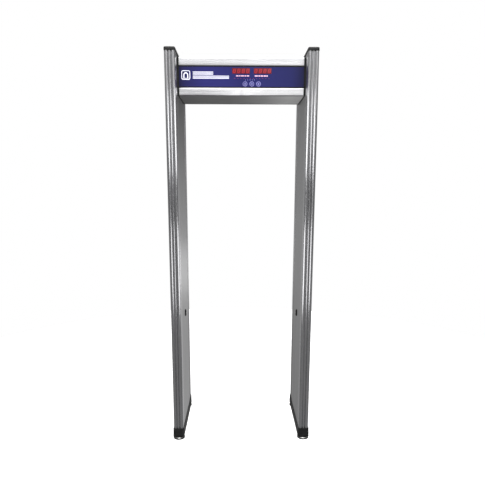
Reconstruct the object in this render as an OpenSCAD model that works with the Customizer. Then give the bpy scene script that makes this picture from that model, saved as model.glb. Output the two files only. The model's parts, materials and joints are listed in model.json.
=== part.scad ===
// Walk-through metal detector gate: two coil panels and a control header.
// Millimetres, +Z up, +Y away from the front. Origin on the floor at the middle of the passage.

/* [Passage] */
// Clear width between the two panels' columns
passage_w = 700; // [600:10:900]
// Clear height under the header
passage_h = 2005; // [1800:5:2100]

/* [Side panels] */
// Thickness of a panel across its columns
panel_t = 58; // [50:1:70]
// Depth of a panel from front column face to rear column face
panel_d = 500; // [400:10:700]
// Height of the panel tops above the floor
gate_h = 2230; // [2100:5:2400]
// Depth of one column extrusion
column_d = 64; // [50:1:80]
// Wall of the column extrusion
column_wall = 2.2; // [1.6:0.1:3]
// Height of the grooves' floor behind the column face
groove_depth = 6; // [3:0.5:8]
// Thickness of the flat skins
skin_t = 3; // [2:0.5:4]
// Lip of the column that holds a skin's edge
lip_t = 1.6; // [1:0.1:2.5]
// Length of that lip
lip_l = 8; // [5:1:12]
// Height of the black top cap
cap_h = 18.5; // [14:0.5:30]

/* [Coils] */
// Thickness of a coil bundle, which fills the space between former and inner skin
coil_t = 10; // [6:1:14]
// Width of a coil bundle
coil_w = 16; // [10:1:25]
// Number of receive loops below the infrared sensor
lower_zones = 2; // [1:1:3]
// Number of receive loops above the infrared sensor
upper_zones = 4; // [3:1:6]

/* [Feet and base] */
// Diameter of a levelling disc
disc_d = 70; // [50:1:90]
// Thickness of a levelling disc
disc_h = 13; // [8:1:20]
// Distance of a foot's axis behind the column face
foot_inset = 27; // [22:1:38]
// Diameter of the threaded stud
stud_d = 12; // [8:1:16]
// How far a foot screws out
foot_travel = 20; // [5:1:30]
// Height of the boots' underside above the floor
base_z = 18; // [15:1:25]
// Height of a boot
boot_h = 54; // [35:1:80]
// Length of a boot along the panel
boot_l = 80; // [70:1:120]
// Height of the base rail between the boots
rail_h = 45; // [30:1:60]

/* [Infrared sensor] */
// Height of the sensor window above the floor
sensor_z = 731; // [400:1:1200]
// Height of the sensor bezel
sensor_h = 42; // [30:1:60]
// Width of the sensor bezel
sensor_w = 18; // [12:1:30]

/* [Header] */
// Height of the header
header_h = 196; // [160:1:205]
// Distance of the header's front behind the column faces
header_inset = 100; // [80:5:150]
// Height of the upper front rail
rail_top_h = 41; // [30:1:50]
// Height of the lower front rail
rail_bottom_h = 38; // [30:1:50]
// Thickness of the end plates
end_t = 4; // [2:0.5:6]
// Thickness of the header's sheet metal
sheet_t = 2; // [1:0.5:3]
// Thickness of the blue fascia
fascia_t = 3; // [2:0.5:5]
// Width of the black gasket line round the fascia
gasket_w = 3; // [2:0.5:6]

/* [Display and keys] */
// Width of one numeric display window
window_w = 98; // [80:1:110]
// Height of a display window
window_h = 30; // [24:1:36]
// Distance between the middles of the two windows
window_pitch = 118; // [112:1:140]
// Diameter of a button cap
button_d = 18; // [12:0.5:24]
// Distance between the middles of the buttons
button_pitch = 37; // [28:1:50]
// Travel of a button
button_travel = 1.2; // [0.6:0.1:2]
// Middle of the display and key group along the header
group_x = 56.5; // [-80:0.5:150]

/* [Hidden] */
$fn = 64;

// Clearance where a piece slips over or into another
gap = 0.3;
// Overrun of a cut past the face it cuts
eps = 1;

// Panel: places across (local x, 0 at the panel's middle, + towards the passage)
panel_x = (passage_w + panel_t) / 2;
half_t = panel_t / 2;
half_d = panel_d / 2;
skin_out = half_t - lip_t;
skin_in = skin_out - skin_t;
web_v = column_d - lip_l;
skin_l = panel_d - 2 * web_v;
lobe_r = 11;
bead_r = 6.5;
bead_drop = 0.5;

// Top cap
cap_over = 1.2;
cap_wall = 3;
cap_step = 1;
plug_h = 14;
plug_wall = 3;

// Heights
boot_floor = 6;
panel_z0 = base_z + boot_floor;
cap_z = gate_h - cap_h;
header_z0 = passage_h;
header_z1 = passage_h + header_h;
header_mid = header_z0 + header_h / 2;

// Former and coils
former_t = 2 * skin_in - coil_t;
former_x0 = -skin_in;
former_x1 = former_x0 + former_t;
coil_margin = 8;
coil_r = 40;
coil_z0 = panel_z0 + boot_h;
coil_z1 = header_z0 - 12;
zone_gap = 6;
sensor_board_h = 70;
sensor_board_w = 40;
sensor_room = sensor_board_h / 2 + 12;
sensor_body_w = sensor_w - 6;
sensor_body_h = sensor_h - 6;
bezel_proud = 1.5;
lens_r = 4;
lens_proud = 1;
lens_z = 0.22 * sensor_h;

// Boots and base rail
boot_wall = 2.5;
boot_flare = 2;
boot_corner = 12;
pocket_half = half_t + gap;
boot_half = pocket_half + boot_wall;
rail_half = pocket_half + 1.7;
rail_flare = 2.5;
skirt_h = 8;
skirt_slope = 4;
stud_r = stud_d / 2;
disc_edge = 4;
nut_h = base_z - disc_h - gap;
nut_af = 1.6 * stud_d;
foot_y = half_d - foot_inset;
stud_top = panel_z0 + foot_travel + 12;

// Header: places along the front
header_x = passage_w / 2 + lip_t;
body_x = header_x - end_t;
header_d = panel_d - 2 * header_inset;
front_y = -header_d / 2;
rear_y = header_d / 2;
rail_d = 16;
rail_wall = 3;
rib_pitch = 7;
rib_depth = 1;
rib_gap = 1;
fascia_z0 = header_z0 + rail_bottom_h;
fascia_z1 = header_z1 - rail_top_h;
fascia_h = fascia_z1 - fascia_z0;
fascia_y = front_y + 1.5;
fascia_back = fascia_y + fascia_t;

// Rows of the fascia: how far each lies below its top, as a share of its height
window_row = 28 / 117;
lamp_row = 66.5 / 117;
button_row = 95 / 117;
window_z = fascia_z1 - window_row * fascia_h;
lamp_z = fascia_z1 - lamp_row * fascia_h;
status_z = lamp_z - 8;
button_z = fascia_z1 - button_row * fascia_h;
window_t = 2;
window_drop = 0.5;
lamp_d = 3;
lamp_count = 12;
lamp_pitch = 17;
status_count = 5;
status_pitch = 12;
status_x = group_x - 10;

// Display board stack
module_t = 8;
board_t = 1.6;
board_y = fascia_back + module_t;
board_w = 2 * window_w + 44;
board_margin = 5;
board_z0 = fascia_z0 + board_margin;
board_z1 = fascia_z1 - board_margin;
button_proud = 1.5;
button_flange = 1.5;
flange_d = button_d + 4;
switch_w = 6;
switch_h = 3.6;
stem_d = 5;

// Sheet parts
pan_z = header_z0 + 3;
cover_z = header_z1 - sheet_t;
standoff_h = 8;
standoff_d = 6;
standoff_inset = 8;
board_half = 115;
control_y = 70;
control_z = pan_z + sheet_t + standoff_h;
socket_x = board_half - 2;
socket_w = 20;
chip = [22, 14, 3];
relay = [30, 12, 16];
transformer = [40, 34, 22];
capacitor_d = 13;
capacitor_h = 26;
ribbon_w = 30;
ribbon_t = 1;
supply = [160, 98, 38];
supply_x = 150;
supply_y = -60;
slot_count = 10;
slot_pitch = 12;

// Clamp plates, bolts and leads
plate_t = coil_t;
plate_y = 110;
plate_h = 150;
bolt_d = 8;
bolt_head_h = 5.3;
bolt_y = 85;
bolt_z = 60;
lead_d = 8;
lead_y = 60;
lead_z = header_z0 + 38;
lead_plug_d = 15;
lead_plug_l = 24;

// Rear fittings
tab_t = 12;
tab_l = 30;
tab_h = 20;
screw_d = 3.4;
screw_head_d = 7.5;
screw_head_h = 2.4;
screw_inset = 18;
screw_z = header_h / 2 - 18;
fitting_depth = 22;
inlet_x = 230;
inlet_z = header_z0 + 70;
inlet_w = 27;
inlet_h = 20;
inlet_wall = 2;
inlet_well = 14;
inlet_flange_w = 50;
inlet_flange_h = 24;
pin = [2, 14, 4];
switch_x = 165;
rocker_w = 12;
rocker_h = 24;
rocker_tilt = 7;
rocker_back = 5;
rocker_horn = 3.2;
rocker_waist = 1.2;
housing_wall = 1.8;
pivot_y = rear_y - 1;
pivot_r = 1.5;
sounder_x = -230;
sounder_z = header_z0 + 95;
sounder_d = 66;
sounder_flange = 12;
sounder_depth = 26;
sound_hole_d = 3.4;
sound_hole_pitch = 8;
vent_count = 14;
vent_pitch = 9;
vent_w = 3;
vent_h = 50;
vent_drop = 90;

module at_panel(side) {
    // side -1 is the left panel, 1 the right one; local +x points into the passage
    if (side < 0) translate([-panel_x, 0, 0]) children();
    else translate([panel_x, 0, 0]) mirror([1, 0, 0]) children();
}

module rounded_rect(w, h, r) {
    square([w - 2 * r, h], center = true);
    square([w, h - 2 * r], center = true);
    for (x = [-1, 1], y = [-1, 1]) translate([x * (w / 2 - r), y * (h / 2 - r)]) circle(r = r);
}

// Extrudes a shape drawn in (y, z) along x, from x0 to x0 + t
module along_x(x0, t) {
    translate([x0, 0, 0]) rotate([90, 0, 90]) linear_extrude(t) children();
}

// Extrudes a shape drawn in (x, z) along y, from y0 to y0 + t
module along_y(y0, t) {
    translate([0, y0 + t, 0]) rotate([90, 0, 0]) linear_extrude(t) children();
}

// Column section: face at v = 0, lips at its back
module column_outline() {
    for (s = [-1, 1]) translate([s * (half_t - lobe_r), lobe_r]) circle(r = lobe_r);
    translate([0, bead_r + bead_drop]) circle(r = bead_r);
    translate([-(half_t - lobe_r), groove_depth]) square([panel_t - 2 * lobe_r, lobe_r]);
    translate([-half_t, lobe_r]) square([panel_t, web_v - lobe_r]);
    for (x = [-half_t, half_t - lip_t]) translate([x, web_v - 1]) square([lip_t, lip_l + 1]);
}

module column_section() {
    cavity_half = half_t - column_wall;
    difference() {
        column_outline();
        for (s = [-1, 1]) translate([s * (half_t - lobe_r), lobe_r]) circle(r = lobe_r - column_wall);
        translate([-cavity_half, lobe_r]) square([2 * cavity_half, web_v - column_wall - lobe_r]);
    }
}

module column() {
    color("silver") translate([0, 0, panel_z0]) linear_extrude(cap_z - panel_z0)
        translate([0, -half_d]) column_section();
}

module rear_column() {
    mirror([0, 1, 0]) column();
}

module skin(x0, holes) {
    color("gainsboro") difference() {
        translate([x0, -skin_l / 2, panel_z0]) cube([skin_t, skin_l, cap_z - panel_z0]);
        if (holes) {
            bolt_holes(x0 - eps, skin_t + 2 * eps, bolt_d / 2 + gap);
            translate([0, lead_y, lead_z]) rotate([0, 90, 0]) cylinder(r = lead_d / 2 + gap, h = half_t);
            sensor_slot(x0 - eps, skin_t + 2 * eps, sensor_body_w + 2 * gap, sensor_body_h + 2 * gap);
        }
    }
}

module bolt_holes(x0, l, r) {
    for (y = [-bolt_y, bolt_y], z = [-1, 1])
        translate([x0, y, header_mid + z * bolt_z]) rotate([0, 90, 0]) cylinder(r = r, h = l);
}

module sensor_slot(x0, l, w, h) {
    along_x(x0, l) translate([0, sensor_z]) stadium(w, h);
}

module stadium(w, h) {
    square([w, h - w], center = true);
    for (s = [-1, 1]) translate([0, s * (h - w) / 2]) circle(d = w);
}

module coil_former() {
    color("burlywood") translate([former_x0, -skin_l / 2, panel_z0]) cube([former_t, skin_l, cap_z - panel_z0]);
}

module coil_loop(z0, z1) {
    // One flat racetrack of wire on the former's face
    w = skin_l - 2 * coil_margin;
    h = z1 - z0;
    along_x(former_x1, coil_t) translate([0, (z0 + z1) / 2]) difference() {
        rounded_rect(w, h, coil_r);
        rounded_rect(w - 2 * coil_w, h - 2 * coil_w, coil_r - coil_w);
    }
}

module transmit_coil() {
    color("peru") coil_loop(coil_z0, coil_z1);
}

// Loops stacked between two heights, a small gap apart
module coil_bank(z0, z1, count) {
    pitch = (z1 - z0 + zone_gap) / count;
    for (i = [0 : count - 1]) coil_loop(z0 + i * pitch, z0 + (i + 1) * pitch - zone_gap);
}

module receive_coils() {
    color("peru") {
        coil_bank(coil_z0, sensor_z - sensor_room, lower_zones);
        coil_bank(sensor_z + sensor_room, coil_z1, upper_zones);
    }
}

module top_cap() {
    // Moulded lid that stands on the panel and plugs into both columns
    w = panel_t + 2 * cap_over;
    l = panel_d + 2 * cap_over;
    color([0.08, 0.08, 0.08]) difference() {
        union() {
            translate([0, 0, cap_z]) linear_extrude(cap_h - cap_wall) rounded_rect(w, l, lobe_r);
            translate([0, 0, gate_h - cap_wall]) linear_extrude(cap_wall)
                rounded_rect(w - 2 * cap_step, l - 2 * cap_step, lobe_r - cap_step);
            cap_plugs(0, plug_h, plug_h + 4);
        }
        translate([0, 0, cap_z - eps]) linear_extrude(cap_h - cap_wall + eps)
            rounded_rect(2 * (skin_in - 2), skin_l - 4, 6);
        cap_plugs(plug_wall, plug_h + eps, plug_h + 8);
    }
}

// The two column plugs, drawn in from their outline by inset, from drop below the cap's seat upwards
module cap_plugs(inset, drop, h) {
    half = half_t - column_wall - gap;
    l = web_v - column_wall - lobe_r - 2 * gap;
    for (s = [-1, 1])
        translate([-half + inset, s * (half_d - lobe_r - gap - l / 2) - l / 2 + inset, cap_z - drop])
            cube([2 * (half - inset), l - 2 * inset, h]);
}

// Block with flared sides and rounded front corners; its back face is at y1
module flared_block(half_w, y0, y1, z0, h, r, flare) {
    z1 = z0 + h;
    for (s = [-1, 1]) translate([s * (half_w - r), y0 + r, z0]) cylinder(r1 = r + flare, r2 = r, h = h);
    along_y(y0 + r, y1 - y0 - r) polygon([
        [-half_w - flare, z0], [half_w + flare, z0], [half_w, z1], [-half_w, z1]]);
    along_x(-(half_w - r), 2 * (half_w - r)) polygon([
        [y0 - flare, z0], [y0 + r, z0], [y0 + r, z1], [y0, z1]]);
}

module boot() {
    y0 = -half_d - gap - boot_wall;
    y1 = -half_d + boot_l;
    color([0.1, 0.1, 0.1]) difference() {
        flared_block(boot_half, y0, y1, base_z, boot_h, boot_corner, boot_flare);
        translate([-pocket_half, -half_d - gap + lobe_r, panel_z0]) cube([2 * pocket_half, boot_l, boot_h]);
        translate([-(pocket_half - lobe_r), -half_d - gap, panel_z0])
            cube([2 * (pocket_half - lobe_r), boot_l, boot_h]);
        for (s = [-1, 1]) translate([s * (pocket_half - lobe_r), -half_d - gap + lobe_r, panel_z0])
            cylinder(r = lobe_r, h = boot_h);
        translate([0, -foot_y, base_z - eps]) cylinder(d = stud_d + 2 * gap, h = boot_floor + 2 * eps);
    }
}

module rear_boot() {
    mirror([0, 1, 0]) boot();
}

module base_rail() {
    l = panel_d - 2 * boot_l;
    foot_half = rail_half + rail_flare;
    z1 = base_z + skirt_h;
    z2 = z1 + skirt_slope;
    z3 = base_z + rail_h;
    color([0.1, 0.1, 0.1]) difference() {
        along_y(-l / 2, l) polygon([
            [-foot_half, base_z], [foot_half, base_z], [foot_half, z1], [rail_half, z2],
            [rail_half, z3], [-rail_half, z3], [-rail_half, z2], [-foot_half, z1]]);
        translate([-skin_out - gap, -l / 2 - eps, panel_z0]) cube([2 * (skin_out + gap), l + 2 * eps, rail_h]);
    }
}

// Turned disc with a soft upper edge, on a threaded stud
module foot() {
    color([0.12, 0.12, 0.12]) translate([0, -foot_y, 0]) rotate_extrude($fn = 96) {
        square([disc_d / 2 - disc_edge, disc_h]);
        square([disc_d / 2, disc_h - disc_edge]);
        translate([disc_d / 2 - disc_edge, disc_h - disc_edge]) circle(r = disc_edge, $fn = 48);
        square([stud_r, stud_top]);
    }
}

module rear_foot() {
    mirror([0, 1, 0]) foot();
}

module lock_nuts() {
    color("gray") for (side = [-1, 1], y = [-foot_y, foot_y]) at_panel(side)
        translate([0, y, disc_h + gap]) difference() {
            cylinder(d = nut_af / cos(30), h = nut_h, $fn = 6);
            translate([0, 0, -eps]) cylinder(d = stud_d + 2 * gap, h = nut_h + 2 * eps);
        }
}

module sensor_bezel() {
    back = former_x1 + board_t;
    color([0.05, 0.05, 0.05]) difference() {
        union() {
            sensor_slot(skin_out, bezel_proud, sensor_w, sensor_h);
            sensor_slot(back, skin_out - back + bezel_proud / 3, sensor_body_w, sensor_body_h);
        }
        for (s = [-1, 1]) translate([former_x1, 0, sensor_z + s * lens_z]) rotate([0, 90, 0])
            cylinder(r = lens_r + gap, h = half_t);
    }
}

module sensor_lenses() {
    // Domed lenses that stand on the sensor board and show in the bezel
    base = former_x1 + board_t;
    l = skin_out + lens_proud - base;
    color([0.3, 0.05, 0.08]) for (side = [-1, 1], s = [-1, 1]) at_panel(side)
        translate([base, 0, sensor_z + s * lens_z]) rotate([0, 90, 0]) rotate_extrude() intersection() {
            union() {
                square([lens_r, l - lens_r + lens_proud]);
                translate([0, l - lens_r]) circle(r = lens_r);
            }
            square([lens_r, l]);
        }
}

module sensor_boards() {
    color("darkgreen") for (side = [-1, 1]) at_panel(side)
        translate([former_x1, -sensor_board_w / 2, sensor_z - sensor_board_h / 2])
            cube([board_t, sensor_board_w, sensor_board_h]);
}

module clamp_plates() {
    color("lightsteelblue") for (side = [-1, 1]) at_panel(side) difference() {
        translate([former_x1, -plate_y, header_mid - plate_h / 2]) cube([plate_t, 2 * plate_y, plate_h]);
        bolt_holes(former_x1 - eps, plate_t + 2 * eps, bolt_d / 2 + 0.05);
        translate([former_x1 - eps, lead_y, lead_z]) rotate([0, 90, 0])
            cylinder(r = lead_d / 2 + gap, h = plate_t + 2 * eps);
    }
}

module coil_leads() {
    // Short lead from each former, through skin and end plate, to its plug in the header
    reach = panel_x - former_x1 - socket_x;
    color([0.15, 0.15, 0.15]) for (side = [-1, 1]) at_panel(side) translate([former_x1, lead_y, lead_z])
        rotate([0, 90, 0]) {
            cylinder(d = lead_d, h = reach);
            translate([0, 0, reach - lead_plug_l]) cylinder(d = lead_plug_d, h = lead_plug_l);
        }
}

// Header

module rail(z0, h) {
    // Front extrusion with fine ribs and two flanges turned back
    ribs = floor((h - 2 * rail_wall) / rib_pitch);
    first = z0 + (h - (ribs - 1) * rib_pitch - rib_gap) / 2;
    color("whitesmoke") difference() {
        translate([-body_x, front_y, z0]) cube([2 * body_x, rail_d, h]);
        translate([-body_x - eps, front_y + rail_wall, z0 + rail_wall])
            cube([2 * (body_x + eps), rail_d, h - 2 * rail_wall]);
        for (i = [0 : ribs - 1]) translate([-body_x - eps, front_y - eps, first + i * rib_pitch])
            cube([2 * (body_x + eps), rib_depth + eps, rib_gap]);
    }
}

module upper_front_rail() {
    rail(fascia_z1, rail_top_h);
}

module lower_front_rail() {
    rail(header_z0, rail_bottom_h);
}

module window_places() {
    for (s = [-1, 1]) translate([group_x + s * window_pitch / 2, 0, window_z]) children();
}

module button_place(i) {
    translate([group_x + i * button_pitch, 0, button_z]) children();
}

module signal_places() {
    for (i = [0 : lamp_count - 1])
        translate([group_x + (i - (lamp_count - 1) / 2) * lamp_pitch, 0, lamp_z]) children();
}

module status_places() {
    for (i = [0 : status_count - 1])
        translate([status_x + (i - (status_count - 1) / 2) * status_pitch, 0, status_z]) children();
}

// Round piece with its axis along y, from y0 towards the rear
module drum(y0, d, l) {
    translate([0, y0 + l, 0]) rotate([90, 0, 0]) cylinder(d = d, h = l);
}

module fascia_panel() {
    color([0.13, 0.15, 0.45]) difference() {
        translate([-body_x + gasket_w, fascia_y, fascia_z0 + gasket_w])
            cube([2 * (body_x - gasket_w), fascia_t, fascia_h - 2 * gasket_w]);
        window_places() translate([-window_w / 2, fascia_y - eps, -window_h / 2])
            cube([window_w, fascia_t + 2 * eps, window_h]);
        for (i = [-1 : 1]) button_place(i) drum(fascia_y - eps, button_d + 2 * gap, fascia_t + 2 * eps);
        signal_places() drum(fascia_y - eps, lamp_d, fascia_t + 2 * eps);
        status_places() drum(fascia_y - eps, lamp_d, fascia_t + 2 * eps);
    }
}

module fascia_gasket() {
    color([0.03, 0.03, 0.05]) difference() {
        translate([-body_x, fascia_y - 0.5, fascia_z0]) cube([2 * body_x, fascia_t + 1, fascia_h]);
        translate([-body_x + gasket_w, fascia_y - 0.5 - eps, fascia_z0 + gasket_w])
            cube([2 * (body_x - gasket_w), fascia_t + 1 + 2 * eps, fascia_h - 2 * gasket_w]);
    }
}

module display_windows() {
    color([0.45, 0.03, 0.06]) window_places()
        translate([-window_w / 2, fascia_y + window_drop, -window_h / 2]) cube([window_w, window_t, window_h]);
}

module display_modules() {
    y0 = fascia_y + window_drop + window_t;
    color([0.2, 0.02, 0.03]) window_places()
        translate([-window_w / 2 + 1, y0, -window_h / 2 + 1]) cube([window_w - 2, board_y - y0, window_h - 2]);
}

module lamp() {
    // Round-nosed lamp that stands on the board
    nose = lamp_d / 2;
    l = board_y - fascia_y + 0.5;
    translate([0, board_y, 0]) rotate([90, 0, 0]) rotate_extrude($fn = 32) intersection() {
        union() {
            square([nose, l - nose]);
            translate([0, l - nose]) circle(r = nose);
        }
        square([nose, l]);
    }
}

module signal_lamps() {
    color([0.6, 0.05, 0.1]) signal_places() lamp();
}

module status_lamps() {
    color([0.75, 0.7, 0.95]) status_places() lamp();
}

module display_board() {
    color("darkgreen") translate([group_x - board_w / 2, board_y, board_z0])
        cube([board_w, board_t, board_z1 - board_z0]);
}

module button(i) {
    // Cap with a retaining flange behind the fascia and a stem that presses the switch
    stem_end = board_y - switch_h - button_travel - 0.15;
    color([0.7, 0.68, 0.9]) button_place(i) {
        drum(fascia_y - button_proud, button_d, fascia_t + button_proud + gap + 0.1);
        drum(fascia_back + gap, flange_d, button_flange);
        drum(fascia_back + gap, stem_d, stem_end - fascia_back - gap);
    }
}

module key_switches() {
    color([0.1, 0.1, 0.1]) for (i = [-1 : 1]) button_place(i)
        translate([-switch_w / 2, board_y - switch_h, -switch_w / 2]) cube([switch_w, switch_h, switch_w]);
}

module bottom_pan() {
    color("gray") translate([-body_x, front_y + rail_wall, pan_z])
        cube([2 * body_x, header_d - rail_wall - sheet_t, sheet_t]);
}

module top_cover() {
    color("lightgray") translate([-body_x, front_y + rail_d, cover_z])
        cube([2 * body_x, header_d - rail_d, sheet_t]);
}

module rear_panel() {
    cut_y = rear_y - sheet_t - eps;
    cut_t = sheet_t + 2 * eps;
    housing_w = rocker_w + 4;
    housing_h = rocker_h + 4;
    color("silver") difference() {
        translate([-body_x, rear_y - sheet_t, header_z0]) cube([2 * body_x, sheet_t, header_h - sheet_t]);
        translate([inlet_x - inlet_w / 2, cut_y, inlet_z - inlet_h / 2]) cube([inlet_w, cut_t, inlet_h]);
        translate([switch_x - housing_w / 2, cut_y, inlet_z - housing_h / 2])
            cube([housing_w, cut_t, housing_h]);
        for (ring = [1 : 3], k = [0 : 6 * ring - 1])
            translate([sounder_x, 0, sounder_z]) rotate([0, k * 60 / ring, 0])
                translate([ring * sound_hole_pitch, 0, 0]) drum(cut_y, sound_hole_d, cut_t);
        for (i = [0 : vent_count - 1])
            translate([(i - (vent_count - 1) / 2) * vent_pitch - vent_w / 2, cut_y, header_z1 - vent_drop])
                cube([vent_w, cut_t, vent_h]);
        for (x = [-1, 1], z = [-1, 1]) rear_screw_place(x, z) drum(cut_y, screw_d + 0.8, cut_t);
    }
}

module rear_screw_place(x, z) {
    translate([x * (body_x - screw_inset), 0, header_mid + z * screw_z]) children();
}

module end_plate() {
    // Plate bolted to the panel, with tabs turned in to take the rear panel's screws
    color([0.08, 0.08, 0.09]) difference() {
        union() {
            translate([skin_out, front_y, header_z0]) cube([end_t, header_d, header_h]);
            for (z = [-1, 1])
                translate([skin_out, rear_y - sheet_t - tab_t, header_mid + z * screw_z - tab_h / 2])
                    cube([end_t + tab_l, tab_t, tab_h]);
        }
        bolt_holes(skin_out - eps, end_t + 2 * eps, bolt_d / 2 + gap);
        translate([skin_out - eps, lead_y, lead_z]) rotate([0, 90, 0])
            cylinder(r = lead_d / 2 + gap, h = end_t + 2 * eps);
        for (z = [-1, 1]) translate([skin_out + end_t + screw_inset, 0, header_mid + z * screw_z])
            drum(rear_y - sheet_t - tab_t - eps, screw_d, tab_t + 2 * eps);
    }
}

module control_board() {
    color("darkgreen") translate([-board_half, -control_y, control_z])
        cube([2 * board_half, 2 * control_y, board_t]);
}

module board_components() {
    // Four logic chips, two relays, a transformer, four capacitors and the two coil sockets
    color([0.12, 0.12, 0.14]) translate([0, 0, control_z + board_t]) {
        for (x = [-80, -30, 20, 70]) translate([x, -45, 0]) cube(chip);
        for (y = [-15, 5]) translate([60, y, 0]) cube(relay);
        translate([-90, -15, 0]) cube(transformer);
        for (x = [-30, -10, 10, 30]) translate([x, 30, 0]) cylinder(d = capacitor_d, h = capacitor_h);
        for (s = [-1, 1]) translate([s * (socket_x - socket_w / 2) - socket_w / 2, lead_y - socket_w / 2, 0])
            cube([socket_w, socket_w, lead_z + socket_w / 2 - control_z - board_t]);
    }
}

module display_ribbon() {
    // Flat cable from the back of the display board down to the control board
    y0 = board_y + board_t;
    y1 = -control_y + 9;
    z0 = control_z + board_t;
    z1 = board_z0 + 14;
    color("lightgray") along_x(-ribbon_w / 2, ribbon_w) {
        translate([y0, z1]) square([y1 - y0, ribbon_t]);
        translate([y1 - ribbon_t, z0]) square([ribbon_t, z1 - z0 + ribbon_t]);
    }
}

module board_standoffs() {
    color("gold") {
        for (x = [-1, 1], y = [-1, 1])
            translate([x * (board_half - standoff_inset), y * (control_y - standoff_inset), pan_z + sheet_t])
                cylinder(d = standoff_d, h = standoff_h);
        for (x = [-1, 1], z = [board_z0 + standoff_d, board_z1 - standoff_d])
            translate([group_x + x * (board_w / 2 - standoff_d), 0, z]) drum(fascia_back, standoff_d, module_t);
    }
}

module power_supply() {
    color("lightgray") translate([supply_x, supply_y, pan_z + sheet_t]) difference() {
        cube(supply);
        for (i = [0 : slot_count - 1])
            translate([20 + i * slot_pitch, 20, supply[2] - 1]) cube([4, supply[1] - 40, 1 + eps]);
    }
}

module alarm_sounder() {
    inside_y = rear_y - sheet_t;
    color([0.1, 0.1, 0.1]) translate([sounder_x, 0, sounder_z]) {
        drum(inside_y - sounder_flange, sounder_d, sounder_flange);
        drum(inside_y - sounder_depth, sounder_d - 24, sounder_depth - sounder_flange + gap);
    }
}

module mains_inlet() {
    // Well with three pins, closed at its back
    body_w = inlet_w - 0.4;
    body_h = inlet_h - 0.4;
    well_w = inlet_w - 2 * inlet_wall;
    well_h = inlet_h - 2 * inlet_wall;
    color([0.06, 0.06, 0.06]) translate([inlet_x, 0, inlet_z]) difference() {
        union() {
            translate([-body_w / 2, rear_y - fitting_depth, -body_h / 2])
                cube([body_w, fitting_depth + 1, body_h]);
            along_y(rear_y, 3) rounded_rect(inlet_flange_w, inlet_flange_h, 4);
        }
        translate([-well_w / 2, rear_y - inlet_well, -well_h / 2]) cube([well_w, inlet_well + 6, well_h]);
    }
    color("gold") translate([inlet_x, 0, inlet_z]) for (p = [[-7, 1], [0, -3], [7, 1]])
        translate([p[0] - pin[0] / 2, rear_y - inlet_well - 1, p[1] - pin[2] / 2]) cube(pin);
}

module switch_housing() {
    // Frame with a well that the rocker swings in
    w = rocker_w + 2 * housing_wall;
    h = rocker_h + 2 * housing_wall;
    color([0.06, 0.06, 0.06]) translate([switch_x, 0, inlet_z]) difference() {
        union() {
            translate([-w / 2, rear_y - fitting_depth, -h / 2]) cube([w, fitting_depth + 1, h]);
            along_y(rear_y, 2) rounded_rect(rocker_w + 9, rocker_h + 9, 2);
        }
        translate([-rocker_w / 2 - gap, rear_y - 12, -rocker_h / 2 - 1])
            cube([rocker_w + 2 * gap, 16, rocker_h + 2]);
        translate([-rocker_w / 2 - 1.5, pivot_y, 0]) rotate([0, 90, 0])
            cylinder(r = pivot_r + 0.05, h = rocker_w + 3);
    }
}

module power_rocker() {
    // Shallow-vee rocker on two pivot stubs, drawn with its upper half pressed
    end_z = rocker_h / 2 - 1;
    color([0.7, 0.05, 0.05]) translate([switch_x, pivot_y, inlet_z]) rotate([rocker_tilt, 0, 0]) {
        along_x(-rocker_w / 2, rocker_w) polygon([
            [-rocker_back, -end_z], [rocker_horn, -end_z], [rocker_waist, 0],
            [rocker_horn, end_z], [-rocker_back, end_z]]);
        translate([-rocker_w / 2 - 1.2, 0, 0]) rotate([0, 90, 0]) cylinder(r = pivot_r, h = rocker_w + 2.4);
    }
}

module header_bolts() {
    // Hexagon bolts from inside the header into the clamp plates
    color("silver") for (side = [-1, 1], y = [-bolt_y, bolt_y], z = [-1, 1]) at_panel(side)
        translate([0, y, header_mid + z * bolt_z]) rotate([0, 90, 0]) {
            translate([0, 0, former_x1]) cylinder(d = bolt_d, h = skin_out + end_t - former_x1 + 2);
            translate([0, 0, skin_out + end_t]) cylinder(d = 1.8 * bolt_d, h = bolt_head_h, $fn = 6);
        }
}

module cover_screws() {
    color("silver") for (x = [-1, 1], z = [-1, 1]) rear_screw_place(x, z) {
        drum(rear_y - sheet_t - 10, screw_d, 10 + sheet_t + 0.5);
        drum(rear_y, screw_head_d, screw_head_h);
    }
}

at_panel(-1) column();  // left_front_column
at_panel(1) column();  // right_front_column
at_panel(-1) rear_column();  // left_rear_column
at_panel(1) rear_column();  // right_rear_column
at_panel(-1) skin(skin_in, true);  // left_inner_skin
at_panel(1) skin(skin_in, true);  // right_inner_skin
at_panel(-1) skin(-skin_out, false);  // left_outer_skin
at_panel(1) skin(-skin_out, false);  // right_outer_skin
at_panel(-1) coil_former();  // left_coil_former
at_panel(1) coil_former();  // right_coil_former
at_panel(-1) transmit_coil();
at_panel(1) receive_coils();
at_panel(-1) top_cap();  // left_top_cap
at_panel(1) top_cap();  // right_top_cap
at_panel(-1) base_rail();  // left_base_rail
at_panel(1) base_rail();  // right_base_rail
at_panel(-1) boot();  // left_front_boot
at_panel(1) boot();  // right_front_boot
at_panel(-1) rear_boot();  // left_rear_boot
at_panel(1) rear_boot();  // right_rear_boot
at_panel(-1) foot();  // left_front_foot
at_panel(1) foot();  // right_front_foot
at_panel(-1) rear_foot();  // left_rear_foot
at_panel(1) rear_foot();  // right_rear_foot
lock_nuts();  // foot_lock_nuts
at_panel(-1) sensor_bezel();  // left_sensor_bezel
at_panel(1) sensor_bezel();  // right_sensor_bezel
sensor_lenses();
sensor_boards();
clamp_plates();
coil_leads();
upper_front_rail();
lower_front_rail();
fascia_panel();
fascia_gasket();
display_windows();
display_modules();
signal_lamps();
status_lamps();
display_board();
button(-1);  // left_button
button(0);  // middle_button
button(1);  // right_button
key_switches();
bottom_pan();
top_cover();
rear_panel();
at_panel(-1) end_plate();  // left_end_plate
at_panel(1) end_plate();  // right_end_plate
control_board();
board_components();
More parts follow.
